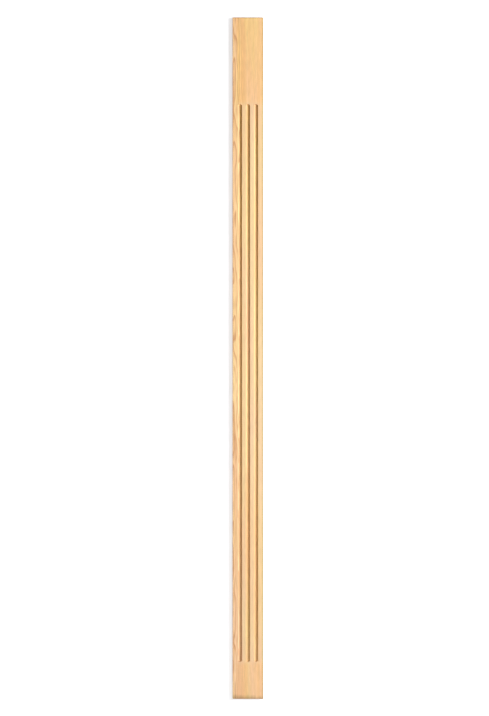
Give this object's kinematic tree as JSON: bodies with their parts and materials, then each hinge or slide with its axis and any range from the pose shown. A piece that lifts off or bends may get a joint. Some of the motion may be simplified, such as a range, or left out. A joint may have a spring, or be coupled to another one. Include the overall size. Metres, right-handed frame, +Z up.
{
  "type": "pilaster",
  "caption": "Flat fluted pilaster board with a plain head and foot and round-ended flutes that stop short of both, fixed by its back to a wall, door surround or cabinet.",
  "frame": {"origin": "middle of the flat back face", "axes": "+Z up the length of the board towards its plain head, +Y out of the back into the wall, so the fluted face looks towards -Y, and +X to the right as seen from the front"},
  "size_m": [0.1, 0.02, 2.2],
  "materials": {
    "pine": "planed and sanded pale pine with no varnish or paint"
  },
  "bodies": {
    "root": {"pilaster_board": "pine"}
  },
  "joints": []
}
